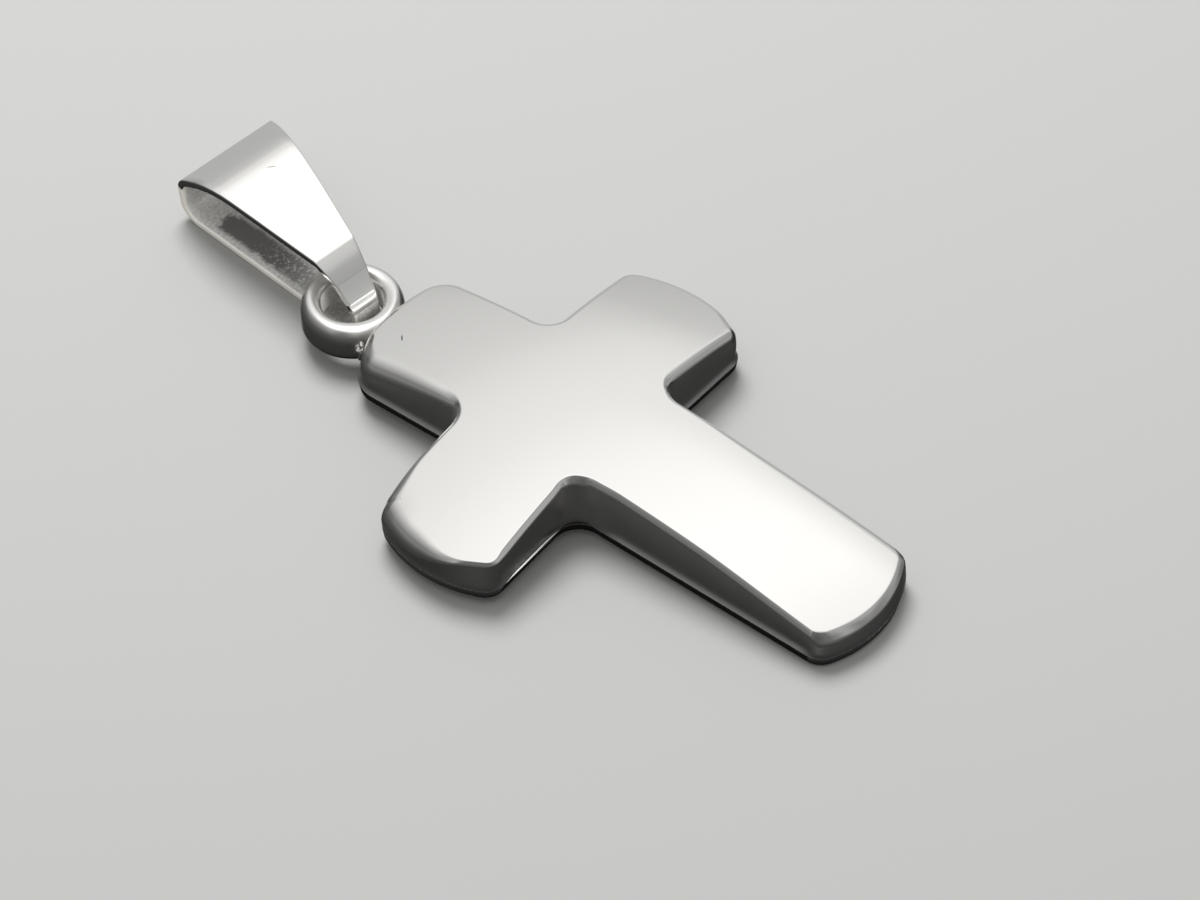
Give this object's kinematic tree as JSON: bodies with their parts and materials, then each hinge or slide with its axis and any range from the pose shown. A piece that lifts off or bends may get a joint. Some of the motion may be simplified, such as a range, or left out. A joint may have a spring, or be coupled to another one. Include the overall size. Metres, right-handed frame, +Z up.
{
  "type": "cross pendant",
  "caption": "Domed metal cross pendant with bowed arm ends and a flat back, a ring soldered to its top arm and a leaf-shaped folded bail hung in the ring for a chain.",
  "frame": {"origin": "on the flat back of the cross, under the middle of its crossing", "axes": "+X along the side arms, +Y along the cross from its foot towards the bail, +Z up from the surface that the pendant lies on; the surface is 0.36 mm below the origin"},
  "size_m": [0.0178, 0.0375, 0.004],
  "materials": {
    "polished_silver": "polished sterling silver, cast and buffed",
    "bail_silver": "polished sterling silver strip, left rough on the inside"
  },
  "bodies": {
    "root": {"cross": "polished_silver", "bail": "bail_silver"}
  },
  "joints": []
}
